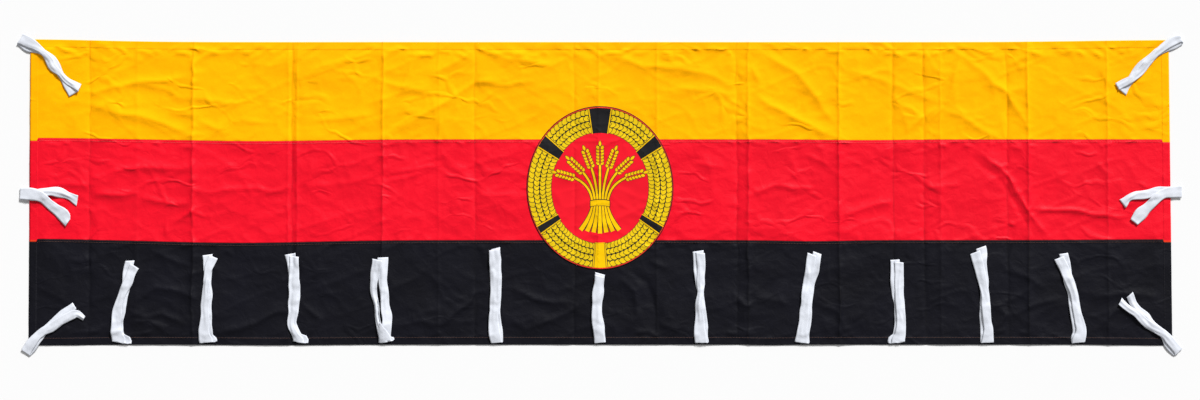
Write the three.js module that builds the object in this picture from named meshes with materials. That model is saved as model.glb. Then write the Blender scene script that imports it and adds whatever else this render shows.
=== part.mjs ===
// Long flag banner of three sewn stripes, lying face up and spread out flat, with an oval
// medallion sewn on at the middle and seventeen doubled tapes for tying it up.
// Millimetres, +Z up. +X runs along the length, +Y runs from the black stripe to the gold one.
// The origin is under the middle of the whole outline, on the surface that the cloth lies on.

import * as THREE from 'three';

// Flag cloth.
const HALF_LENGTH = 1500;
const TOP_EDGE = 398.5;
const GOLD_SEAM = 141.8;
const RED_SEAM = -123.2;
const BOTTOM_EDGE = -397.4;
const CLOTH = 1.2;
const GAP = 0.3;

// Hems, turned over onto the face, and the felled seams between the stripes.
const HEM = 20;
const HEM_RISE = 0.8;
const HEM_STEP = 1.5;
const FELL = 7.4;
const FELL_RAMP = 6;
const SIDE_HEM = HALF_LENGTH - HEM;

// Storage creases run across the whole width and stand up as low ridges.
const CREASE_REACH = 14;
const WIDEST_COLUMN = 90;
const STORAGE_CREASES = [
  { at: -1342, rise: 3 },
  { at: -1071, rise: 3.5 },
  { at: -811, rise: 5 },
  { at: -572, rise: 4.5 },
  { at: -329, rise: 3 },
  { at: -68, rise: 2.5 },
  { at: 149, rise: 3 },
  { at: 378, rise: 4 },
  { at: 629, rise: 4.5 },
  { at: 771, rise: 3 },
  { at: 890, rise: 3.5 },
  { at: 1071, rise: 3 },
  { at: 1126, rise: 2.5 },
  { at: 1334, rise: 3 },
];

// The main free wrinkles, each a soft ridge along a few straight runs.
const WRINKLE_REACH = 42;
const WRINKLE_RISE = 3.2;
const WRINKLES = [
  [[-1342, 264], [-1074, 304]],
  [[-1342, 236], [-1074, 149]],
  [[-763, 322], [-605, 370]],
  [[-763, 191], [-584, 212]],
  [[-558, 149], [-332, 288], [-237, 312]],
  [[-566, 196], [-474, 370]],
  [[0, 367], [263, 317], [368, 286]],
  [[437, 365], [516, 322], [626, 186]],
  [[405, 254], [505, 207], [626, 149]],
  [[963, 349], [1069, 265], [1126, 159]],
  [[905, 222], [1048, 149]],
  [[-1332, 1], [-1211, -4]],
  [[-1063, 17], [-1021, 7], [-821, 12]],
  [[-763, 22], [-574, 30]],
  [[405, 12], [579, 22]],
  [[632, -57], [763, -14]],
  [[990, 125], [1079, 38], [1121, -41], [1179, -120]],
  [[1126, -41], [1332, -54], [1384, -59]],
  [[-384, -367], [-342, -293]],
  [[353, -262], [390, -304]],
];

// Oval medallion, sewn on over all three stripes.
const MEDALLION_CENTRE_Y = 15;
const MEDALLION_HALF_WIDTH = 193;
const MEDALLION_HALF_HEIGHT = 215;
const MEDALLION_CLOTH = 1;

// Tie tapes: one length of tape folded in half, sewn down near its fold.
const TAPE_WIDTH = 28;
const TAPE = 0.8;
const TAPE_STEP = 24;
const TAPE_MARGIN = 4;

// Each tie runs from its fold along a shared stretch, and then its two legs part.
const HEM_TIES = [
  {
    shared: [[-1271, -394], [-1273, -360], [-1265, -312], [-1252, -267]],
    legs: [[[-1245, -228], [-1237, -178]], [[-1234, -233], [-1216, -195]]],
  },
  {
    shared: [[-1030, -394], [-1036, -346], [-1034, -288], [-1034, -236]],
    legs: [[[-1033, -196], [-1033, -160]], [[-1024, -199], [-1013, -166]]],
  },
  {
    shared: [[-794, -394], [-806, -362], [-809, -341], [-803, -315], [-804, -267]],
    legs: [[[-811, -215], [-818, -160]], [[-800, -215], [-800, -165]]],
  },
  {
    shared: [[-563, -394], [-566, -372]],
    legs: [
      [[-563, -333], [-568, -281], [-572, -228], [-573, -170]],
      [[-582, -340], [-589, -288], [-591, -233], [-579, -175]],
    ],
  },
  {
    shared: [[-273, -394], [-274, -360], [-275, -294]],
    legs: [[[-275, -215], [-277, -145]], [[-271, -215], [-271, -146]]],
  },
  {
    shared: [[-1, -394], [-5, -341], [-7, -296]],
    legs: [[[-4, -249], [0, -211]], [[-5, -249], [0, -215]]],
  },
  {
    shared: [[267, -394], [266, -331], [264, -286]],
    legs: [[[263, -244], [259, -196], [258, -153]], [[266, -244], [268, -196], [266, -156]]],
  },
  {
    shared: [[530, -394], [537, -341], [542, -286], [549, -244]],
    legs: [[[557, -207], [566, -157]], [[556, -207], [563, -162]]],
  },
  {
    shared: [[782, -394], [789, -360], [788, -328], [784, -273]],
    legs: [[[780, -215], [780, -176]], [[782, -215], [780, -181]]],
  },
  {
    shared: [[1018, -394], [1017, -352], [1012, -294]],
    legs: [[[1013, -262], [1010, -228], [1006, -143]], [[1011, -262], [1003, -223], [984, -156]]],
  },
  {
    shared: [[1254, -394], [1263, -362], [1251, -312], [1242, -262]],
    legs: [[[1233, -220], [1220, -159]], [[1224, -220], [1203, -171]]],
  },
];

// The ties at the corners and at mid height reach out past the edge before they turn back.
const EDGE_TIES = [
  {
    name: 'tie_top_left',
    shared: [[-1524, 405], [-1489, 388], [-1466, 373], [-1449, 355], [-1434, 333]],
    legs: [[[-1422, 314], [-1405, 290], [-1383, 264]], [[-1418, 317], [-1395, 298], [-1368, 277]]],
  },
  {
    name: 'tie_top_right',
    shared: [[1527, 406], [1492, 389], [1474, 377], [1455, 363], [1438, 348], [1418, 325]],
    legs: [[[1397, 296], [1375, 268]], [[1387, 301], [1362, 280]]],
  },
  {
    name: 'tie_mid_left',
    shared: [[-1522, 1], [-1492, -2], [-1479, -3]],
    legs: [
      [[-1461, 4], [-1442, 5], [-1421, 1], [-1395, -6], [-1371, -17]],
      [[-1468, -8], [-1453, -19], [-1432, -35], [-1411, -53], [-1395, -77]],
    ],
  },
  {
    name: 'tie_mid_right',
    shared: [[1529, 4], [1495, 3], [1480, 2]],
    legs: [
      [[1468, 4], [1447, 2], [1421, -3], [1397, -10], [1374, -23]],
      [[1468, -8], [1442, -33], [1424, -50], [1407, -78]],
    ],
  },
  {
    name: 'tie_bottom_left',
    shared: [[-1508, -418], [-1492, -388], [-1482, -377], [-1463, -362], [-1442, -349], [-1420, -330]],
    legs: [[[-1403, -315], [-1383, -298]], [[-1384, -316], [-1357, -328]]],
  },
  {
    name: 'tie_bottom_right',
    shared: [[1518, -418], [1495, -382], [1479, -366], [1455, -349], [1434, -332], [1411, -310]],
    legs: [[[1395, -270]], [[1372, -286]]],
  },
];

const PANEL_COLOURS = { gold: 0xfebe00, red: 0xf00f2a, black: 0x141419 };
const MEDALLION_COLOUR = 0xe8b020;
const TAPE_COLOUR = 0xeceff4;

// The long edges are not straight: each bow lifts or lowers an edge around one place.
function bowed(level, bows, along) {
  return bows.reduce((y, bow) => y + bow.rise * Math.exp(-(((along - bow.at) / bow.reach) ** 2)), level);
}

function topEdge(along) {
  return bowed(TOP_EDGE, [{ at: -1500, reach: 250, rise: 7 }, { at: 1500, reach: 300, rise: 5 }], along);
}

function bottomEdge(along) {
  const bows = [
    { at: -1460, reach: 160, rise: -2 },
    { at: -850, reach: 180, rise: -1.6 },
    { at: 447, reach: 60, rise: -1.5 },
    { at: 1480, reach: 150, rise: -2.4 },
  ];
  return bowed(BOTTOM_EDGE, bows, along);
}

// In the side hems the cloth shows its back, where the seams sit one fell lower.
function fellDrop(along) {
  return FELL * THREE.MathUtils.clamp((Math.abs(along) - SIDE_HEM) / FELL_RAMP + 0.5, 0, 1);
}

function goldSeam(along) {
  const bows = [
    { at: -1500, reach: 230, rise: 4 },
    { at: -900, reach: 230, rise: -4.5 },
    { at: 690, reach: 130, rise: -2 },
  ];
  return bowed(GOLD_SEAM, bows, along) - fellDrop(along);
}

function redSeam(along) {
  const bows = [
    { at: -1500, reach: 200, rise: 3.5 },
    { at: -940, reach: 260, rise: -7 },
    { at: 560, reach: 110, rise: -2.7 },
    { at: 1480, reach: 250, rise: 2 },
  ];
  return bowed(RED_SEAM, bows, along) - fellDrop(along);
}

// Half the space between two stripes, wider where the seam runs steeply.
function seamClearance(along) {
  const steepness = Math.hypot(1, FELL / FELL_RAMP);
  return (GAP / 2) * (Math.abs(along) > SIDE_HEM - FELL_RAMP ? steepness : 1);
}

// The short edges lean a little, so a place along the flag shifts with its height.
function halfLengthAt(side, y) {
  return HALF_LENGTH + 1 - (side < 0 ? 0.006 : 0.012) * y;
}

function placeAcross(along, y) {
  return (along * halfLengthAt(along, y)) / HALF_LENGTH;
}

function placeAlong(x, y) {
  return (x * HALF_LENGTH) / halfLengthAt(x, y);
}

function distanceToRun(x, y, [fromX, fromY], [toX, toY]) {
  const runX = toX - fromX;
  const runY = toY - fromY;
  const part = ((x - fromX) * runX + (y - fromY) * runY) / (runX * runX + runY * runY);
  const held = THREE.MathUtils.clamp(part, 0, 1);
  return Math.hypot(x - fromX - held * runX, y - fromY - held * runY);
}

// The sewn medallion holds the cloth under and around it free of wrinkles.
function heldFlat(x, y) {
  const reachX = MEDALLION_HALF_WIDTH + WIDEST_COLUMN + CREASE_REACH;
  const reachY = MEDALLION_HALF_HEIGHT + 50;
  return Math.abs(x) < reachX && Math.abs(y - MEDALLION_CENTRE_Y) < reachY;
}

function creaseHeight(along) {
  return STORAGE_CREASES.reduce((height, crease) => {
    const ridge = 1 - Math.abs(along - crease.at) / CREASE_REACH;
    return Math.max(height, crease.rise * ridge);
  }, 0);
}

function wrinkleHeight(x, y) {
  if (heldFlat(x, y)) return 0;
  let height = 0;
  for (const points of WRINKLES) {
    for (let i = 1; i < points.length; i += 1) {
      const near = 1 - distanceToRun(x, y, points[i - 1], points[i]) / WRINKLE_REACH;
      height = Math.max(height, WRINKLE_RISE * near);
    }
  }
  return height;
}

// Height of the cloth's underside above the surface that it lies on.
function layHeight(along, y) {
  return Math.max(creaseHeight(along), wrinkleHeight(placeAcross(along, y), y));
}

// Columns stand at both hem steps, at each crease's foot, crest and foot, and evenly between.
function panelColumns() {
  const fixed = [-HALF_LENGTH, HALF_LENGTH];
  for (const side of [-1, 1]) {
    fixed.push(side * (SIDE_HEM - FELL_RAMP / 2), side * (SIDE_HEM + FELL_RAMP / 2));
  }
  for (const { at } of STORAGE_CREASES) {
    fixed.push(at - CREASE_REACH, at, at + CREASE_REACH);
  }
  fixed.sort((a, b) => a - b);
  const columns = [fixed[0]];
  for (let i = 1; i < fixed.length; i += 1) {
    const span = fixed[i] - fixed[i - 1];
    const cells = Math.ceil(span / WIDEST_COLUMN);
    for (let cell = 1; cell <= cells; cell += 1) columns.push(fixed[i - 1] + (span * cell) / cells);
  }
  return columns;
}

const COLUMNS = panelColumns();

// A closed sheet over a grid of upper and lower points, given column by column.
function sheetGeometry(upper, lower) {
  const columnCount = upper.length;
  const rowCount = upper[0].length;
  const positions = [...upper.flat(), ...lower.flat()].flat();
  const top = (i, j) => i * rowCount + j;
  const bottom = (i, j) => columnCount * rowCount + top(i, j);
  const faces = [];
  const quad = (a, b, c, d) => faces.push(a, b, c, a, c, d);
  for (let i = 0; i + 1 < columnCount; i += 1) {
    for (let j = 0; j + 1 < rowCount; j += 1) {
      quad(top(i, j), top(i + 1, j), top(i + 1, j + 1), top(i, j + 1));
      quad(bottom(i, j), bottom(i, j + 1), bottom(i + 1, j + 1), bottom(i + 1, j));
    }
    const last = rowCount - 1;
    quad(bottom(i, 0), bottom(i + 1, 0), top(i + 1, 0), top(i, 0));
    quad(bottom(i + 1, last), bottom(i, last), top(i, last), top(i + 1, last));
  }
  for (let j = 0; j + 1 < rowCount; j += 1) {
    const last = columnCount - 1;
    quad(bottom(0, j + 1), bottom(0, j), top(0, j), top(0, j + 1));
    quad(bottom(last, j), bottom(last, j + 1), top(last, j + 1), top(last, j));
  }
  return closedGeometry(positions, faces);
}

function closedGeometry(positions, faces) {
  const geometry = new THREE.BufferGeometry();
  geometry.setAttribute('position', new THREE.Float32BufferAttribute(positions, 3));
  geometry.setIndex(faces);
  geometry.computeVertexNormals();
  return geometry;
}

// Each stripe: its two long edges, the rows between them, and which rows lie in a hem.
const FIELD_ROWS = [0, 0.2, 0.4, 0.6, 0.8, 1];
const GOLD_HEM_LINE = 1 - HEM / (TOP_EDGE - GOLD_SEAM);
const BLACK_HEM_LINE = HEM / (RED_SEAM - BOTTOM_EDGE);
const BLACK_FIELD_ROWS = FIELD_ROWS.map((row) => 1 - (1 - row) * (1 - BLACK_HEM_LINE));
const HEM_STEP_PART = HEM_STEP / (TOP_EDGE - GOLD_SEAM);

const STRIPES = [
  {
    name: 'gold',
    low: (along) => goldSeam(along) + seamClearance(along),
    high: topEdge,
    rows: [...FIELD_ROWS.map((row) => row * GOLD_HEM_LINE), GOLD_HEM_LINE + HEM_STEP_PART, 1],
    inHem: (row) => row > GOLD_HEM_LINE,
  },
  {
    name: 'red',
    low: (along) => redSeam(along) + seamClearance(along),
    high: (along) => goldSeam(along) - seamClearance(along),
    rows: FIELD_ROWS,
    inHem: () => false,
  },
  {
    name: 'black',
    low: bottomEdge,
    high: (along) => redSeam(along) - seamClearance(along),
    rows: [0, BLACK_HEM_LINE - HEM_STEP_PART, ...BLACK_FIELD_ROWS],
    inHem: (row) => row < BLACK_HEM_LINE,
  },
];

function panelGrids(stripe) {
  const upper = [];
  const lower = [];
  for (const along of COLUMNS) {
    const low = stripe.low(along);
    const high = stripe.high(along);
    const upperColumn = [];
    const lowerColumn = [];
    for (const row of stripe.rows) {
      const y = THREE.MathUtils.lerp(low, high, row);
      const x = placeAcross(along, y);
      const under = layHeight(along, y);
      const hemmed = stripe.inHem(row) || Math.abs(along) > SIDE_HEM;
      lowerColumn.push([x, y, under]);
      upperColumn.push([x, y, under + CLOTH + (hemmed ? HEM_RISE : 0)]);
    }
    upper.push(upperColumn);
    lower.push(lowerColumn);
  }
  return { upper, lower };
}

const PANEL_GRIDS = STRIPES.map(panelGrids);

// Height of the highest panel facet's corner around a place, for what lies on the panels.
function clothTop(x, y) {
  const along = THREE.MathUtils.clamp(placeAlong(x, y), -HALF_LENGTH, HALF_LENGTH);
  const column = Math.max(1, COLUMNS.findIndex((place) => place >= along));
  const part = (along - COLUMNS[column - 1]) / (COLUMNS[column] - COLUMNS[column - 1]);
  const held = THREE.MathUtils.clamp(y, bottomEdge(along), topEdge(along));
  let height = 0;
  for (const { upper } of PANEL_GRIDS) {
    const left = upper[column - 1];
    const right = upper[column];
    for (let j = 1; j < left.length; j += 1) {
      const low = Math.min(left[j - 1][1], right[j - 1][1]) - TAPE_MARGIN;
      const high = Math.max(left[j][1], right[j][1]) + TAPE_MARGIN;
      if (held >= low && held <= high) {
        const atLeft = Math.max(left[j - 1][2], left[j][2]);
        const atRight = Math.max(right[j - 1][2], right[j][2]);
        height = Math.max(height, THREE.MathUtils.lerp(atLeft, atRight, part));
      }
    }
  }
  return height;
}

function medallionGeometry() {
  const shared = COLUMNS.filter((along) => Math.abs(along) < MEDALLION_HALF_WIDTH * 0.97);
  const arcs = 20;
  const rounded = [];
  for (let k = 0; k <= arcs; k += 1) {
    rounded.push(MEDALLION_HALF_WIDTH * 0.995 * Math.cos(Math.PI * (1 - k / arcs)));
  }
  const apart = rounded.filter((along) => shared.every((other) => Math.abs(other - along) > 6));
  const columns = [...shared, ...apart].sort((a, b) => a - b);
  const rows = [-1, -0.5, 0, 0.5, 1];
  const clearance = CLOTH + GAP;
  const upper = [];
  const lower = [];
  for (const along of columns) {
    const halfHeight = MEDALLION_HALF_HEIGHT * Math.sqrt(1 - (along / MEDALLION_HALF_WIDTH) ** 2);
    const column = rows.map((row) => [along, MEDALLION_CENTRE_Y + row * halfHeight]);
    const under = creaseHeight(along) + clearance;
    lower.push(column.map(([, y]) => [placeAcross(along, y), y, under]));
    upper.push(column.map(([, y]) => [placeAcross(along, y), y, under + MEDALLION_CLOTH]));
  }
  return sheetGeometry(upper, lower);
}

// Evenly spaced stations along a smooth route, with the sideways direction at each.
function tapeStations(points) {
  const route = new THREE.CatmullRomCurve3(points.map(([x, y]) => new THREE.Vector3(x, y, 0)));
  const count = Math.ceil(route.getLength() / TAPE_STEP);
  const stations = [];
  for (let k = 0; k <= count; k += 1) {
    const centre = route.getPointAt(k / count);
    const forward = route.getTangentAt(k / count);
    stations.push({ centre, forward, side: new THREE.Vector3(-forward.y, forward.x, 0) });
  }
  return stations;
}

// The highest cloth within one step of a station, at even places across the tape and at
// every crest and foot that it crosses.
function clothTopAround({ centre, forward, side }) {
  const reach = TAPE_WIDTH / 2 + TAPE_MARGIN;
  let height = 0;
  for (let ahead = -TAPE_STEP; ahead <= TAPE_STEP; ahead += TAPE_MARGIN) {
    const place = centre.clone().addScaledVector(forward, ahead);
    const crossings = COLUMNS.map((along) => (placeAcross(along, place.y) - place.x) / side.x);
    const asides = [-reach, -reach / 2, 0, reach / 2, reach, ...crossings];
    for (const aside of asides.filter((distance) => Math.abs(distance) <= reach)) {
      height = Math.max(height, clothTop(place.x + aside * side.x, place.y + aside * side.y));
    }
  }
  return height;
}

// A tape of rectangular section through rings of four corners, closed at both ends.
function tapeGeometry(rings) {
  const positions = rings.flat().flatMap((corner) => corner.toArray());
  const faces = [];
  const quad = (a, b, c, d) => faces.push(a, b, c, a, c, d);
  for (let k = 0; k + 1 < rings.length; k += 1) {
    for (let corner = 0; corner < 4; corner += 1) {
      const next = (corner + 1) % 4;
      quad(4 * k + corner, 4 * k + next, 4 * (k + 1) + next, 4 * (k + 1) + corner);
    }
  }
  const last = 4 * (rings.length - 1);
  quad(3, 2, 1, 0);
  quad(last, last + 1, last + 2, last + 3);
  return closedGeometry(positions, faces);
}

function tapeRing(centre, side, normal) {
  const corners = [[-1, -1], [1, -1], [1, 1], [-1, 1]];
  return corners.map(([across, up]) => {
    const corner = centre.clone().addScaledVector(side, (across * TAPE_WIDTH) / 2);
    return corner.addScaledVector(normal, (up * TAPE) / 2);
  });
}

// One doubled tie: in along the under leg, round the fold, and out along the upper leg.
function tieGeometry({ shared, legs: [underLeg, upperLeg] }) {
  const up = new THREE.Vector3(0, 0, 1);
  const under = tapeStations([...shared, ...underLeg]);
  const upper = tapeStations([...shared, ...upperLeg]);
  for (const station of under) {
    station.centre.z = clothTopAround(station) + GAP + TAPE / 2;
  }
  for (const station of upper) {
    const plan = new THREE.Vector2(station.centre.x, station.centre.y);
    let height = clothTopAround(station) + GAP + TAPE / 2;
    for (const { centre } of under) {
      const beside = plan.distanceTo(new THREE.Vector2(centre.x, centre.y)) < TAPE_WIDTH + TAPE_STEP;
      if (beside) height = Math.max(height, centre.z + TAPE + GAP);
    }
    station.centre.z = height;
  }
  const rings = [];
  for (const { centre, side } of under.toReversed()) {
    rings.push(tapeRing(centre, side.clone().negate(), up));
  }
  const { centre: low, forward, side } = under[0];
  const high = upper[0].centre;
  const middle = low.clone().lerp(high, 0.5);
  const radius = (high.z - low.z) / 2;
  for (const turn of [0.25, 0.5, 0.75]) {
    const angle = Math.PI * turn;
    const normal = forward.clone().multiplyScalar(Math.sin(angle)).addScaledVector(up, Math.cos(angle));
    const centre = middle.clone().addScaledVector(normal, -radius);
    rings.push(tapeRing(centre, side.clone().negate(), normal));
  }
  for (const { centre, side: across } of upper) {
    rings.push(tapeRing(centre, across.clone().negate(), up.clone().negate()));
  }
  return tapeGeometry(rings);
}

function clothPiece(name, geometry, color, roughness) {
  const mesh = new THREE.Mesh(geometry, new THREE.MeshStandardMaterial({ color, roughness, metalness: 0 }));
  mesh.name = name;
  return mesh;
}

const flag = new THREE.Group();

STRIPES.forEach(({ name }, index) => {
  const { upper, lower } = PANEL_GRIDS[index];
  flag.add(clothPiece(`panel_${name}`, sheetGeometry(upper, lower), PANEL_COLOURS[name], 0.75));
});

flag.add(clothPiece('medallion', medallionGeometry(), MEDALLION_COLOUR, 0.7));

HEM_TIES.forEach((tie, index) => {
  const name = `tie_hem_${String(index + 1).padStart(2, '0')}`;
  flag.add(clothPiece(name, tieGeometry(tie), TAPE_COLOUR, 0.85));
});

for (const tie of EDGE_TIES) {
  flag.add(clothPiece(tie.name, tieGeometry(tie), TAPE_COLOUR, 0.85));
}

// Stand the whole flag's outline over the origin.
const outline = new THREE.Box3().setFromObject(flag);
const middleOfOutline = outline.getCenter(new THREE.Vector3());
flag.position.set(-middleOfOutline.x, -middleOfOutline.y, -outline.min.z);
flag.updateMatrixWorld(true);

export default flag;
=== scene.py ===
"""Long three-stripe flag banner with an oval medallion and seventeen tie tapes, spread out flat.

Sizes are millimetres in the flag's own layout: x along the length, y from the black stripe up to
the gold one, z up from the floor. Meshes are made in metres in the frame's coordinates.
"""

import math

import bpy
import numpy as np
from mathutils.geometry import delaunay_2d_cdt
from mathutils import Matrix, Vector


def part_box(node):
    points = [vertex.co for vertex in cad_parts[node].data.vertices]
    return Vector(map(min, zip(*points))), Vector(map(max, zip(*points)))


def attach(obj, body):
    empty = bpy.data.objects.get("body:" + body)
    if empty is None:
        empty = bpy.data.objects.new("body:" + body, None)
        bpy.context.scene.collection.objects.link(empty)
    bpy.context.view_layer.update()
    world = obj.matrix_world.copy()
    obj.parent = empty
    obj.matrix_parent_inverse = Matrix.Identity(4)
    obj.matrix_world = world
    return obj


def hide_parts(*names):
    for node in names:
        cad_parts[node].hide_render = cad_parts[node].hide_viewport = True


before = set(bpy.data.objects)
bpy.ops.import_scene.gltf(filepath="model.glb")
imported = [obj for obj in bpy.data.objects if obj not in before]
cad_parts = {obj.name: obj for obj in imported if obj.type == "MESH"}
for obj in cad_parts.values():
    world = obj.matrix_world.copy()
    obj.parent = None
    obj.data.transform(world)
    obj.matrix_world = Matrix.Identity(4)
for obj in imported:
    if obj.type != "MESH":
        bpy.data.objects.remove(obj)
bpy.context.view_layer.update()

MM = 0.001

# Flag cloth, with its hems turned over onto the face and felled seams between the stripes.
HALF_LENGTH = 1500
TOP_EDGE = 398.5
GOLD_SEAM = 141.8
RED_SEAM = -123.2
BOTTOM_EDGE = -397.4
HEM = 20
FELL = 7.4
CLOTH = 0.5
HEM_RISE = 0.65
FELL_RISE = 0.45
STEP_REACH = 0.8
COLUMN_STEP = 5
CREASE_STEP = 2.5

# Medallion.
MEDALLION_CENTRE_Y = 15
MEDALLION_HALF_WIDTH = 193
MEDALLION_HALF_HEIGHT = 215
PATCH_CLOTH = 0.4
PATCH_GAP = 0.7
PATCH_STEP = 5.5
RIM_CLEAR = 3

# Tapes.
TAPE_WIDTH = 28
TAPE = 0.5

low_corner, high_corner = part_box("medallion")
LAYOUT_X = (low_corner[0] + high_corner[0]) / 2
LAYOUT_Y = (low_corner[1] + high_corner[1]) / 2 - MEDALLION_CENTRE_Y * MM


def to_frame(points):
    """Layout millimetres to frame metres."""
    moved = np.asarray(points, float) * MM
    moved[..., 0] += LAYOUT_X
    moved[..., 1] += LAYOUT_Y
    return moved


# ---------------------------------------------------------------- outline


def bowed(level, bows, along):
    """An edge's height, lifted or lowered by smooth bows of (place, reach, rise)."""
    return level + sum(rise * np.exp(-(((along - at) / reach) ** 2)) for at, reach, rise in bows)


def top_edge(along):
    return bowed(TOP_EDGE, [(-1500, 250, 7), (1500, 300, 5)], along)


def bottom_edge(along):
    bows = [(-1460, 160, -2), (-850, 180, -1.6), (447, 60, -1.5), (1480, 150, -2.4)]
    return bowed(BOTTOM_EDGE, bows, along)


def smooth_step(low, high, value):
    part = np.clip((value - low) / (high - low), 0, 1)
    return part * part * (3 - 2 * part)


def fell_drop(along):
    """In the side hems the cloth shows its back, where the seams sit one fell lower."""
    return FELL * smooth_step(-1.5, 1.5, np.abs(along) - (HALF_LENGTH - HEM))


def gold_seam(along):
    return bowed(GOLD_SEAM, [(-1500, 230, 4), (-900, 230, -4.5), (690, 130, -2)], along) - fell_drop(along)


def red_seam(along):
    bows = [(-1500, 200, 3.5), (-940, 260, -7), (560, 110, -2.7), (1480, 250, 2)]
    return bowed(RED_SEAM, bows, along) - fell_drop(along)


def half_length_at(side, y):
    return HALF_LENGTH + 1 - np.where(side < 0, 0.006, 0.012) * y


def place_across(along, y):
    return along * half_length_at(along, y) / HALF_LENGTH


def place_along(x, y):
    return x * HALF_LENGTH / half_length_at(x, y)


# ---------------------------------------------------------------- the cloth's lie


LATTICE_SIDE = 160
LATTICE_START = (0.37, 0.61)


def smooth_noise(x, y, cell_x, cell_y, seed, turn=0.0):
    """Seeded noise from -1 to 1, smooth over cells of the given size, on a turned lattice."""
    side = LATTICE_SIDE
    lattice = np.random.default_rng(seed).uniform(-1, 1, (side, side))
    across = (x * math.cos(turn) + y * math.sin(turn)) / cell_x + side * LATTICE_START[0]
    up = (y * math.cos(turn) - x * math.sin(turn)) / cell_y + side * LATTICE_START[1]
    column = np.floor(across).astype(int)
    row = np.floor(up).astype(int)
    part_x = across - column
    part_y = up - row
    part_x = part_x ** 3 * (part_x * (6 * part_x - 15) + 10)
    part_y = part_y ** 3 * (part_y * (6 * part_y - 15) + 10)

    def corner(i, j):
        return lattice[(column + i) % side, (row + j) % side]

    lower = corner(0, 0) * (1 - part_x) + corner(1, 0) * part_x
    upper = corner(0, 1) * (1 - part_x) + corner(1, 1) * part_x
    return lower * (1 - part_y) + upper * part_y


def noise_along(places, cell, seed):
    """Seeded noise from -1 to 1 along a line."""
    return smooth_noise(places, places * 0, cell, 1, seed)


# Storage creases: place, rise (a valley is negative), reach, crinkle.
STORAGE_CREASES = [
    (-1342, -4.0, 16, 0.6),
    (-1219, 1.3, 9, 0.3),
    (-1071, 5.0, 15, 1.0),
    (-820, 1.4, 4, 0.4),
    (-809, -4.6, 10, 0.5),
    (-797, 1.6, 5, 0.4),
    (-572, 4.6, 20, 0.5),
    (-425, 1.4, 10, 0.3),
    (-329, -3.2, 16, 0.4),
    (-68, -2.0, 9, 0.3),
    (-5, 2.4, 16, 0.3),
    (149, 2.6, 12, 0.3),
    (360, -3.6, 13, 1.0),
    (390, 4.0, 15, 1.0),
    (629, 5.6, 20, 0.4),
    (771, -3.6, 11, 0.4),
    (853, -3.8, 11, 0.7),
    (895, 2.0, 13, 0.7),
    (1071, -3.0, 13, 0.5),
    (1126, 5.2, 18, 0.4),
    (1334, 3.0, 13, 0.5),
]

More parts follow.
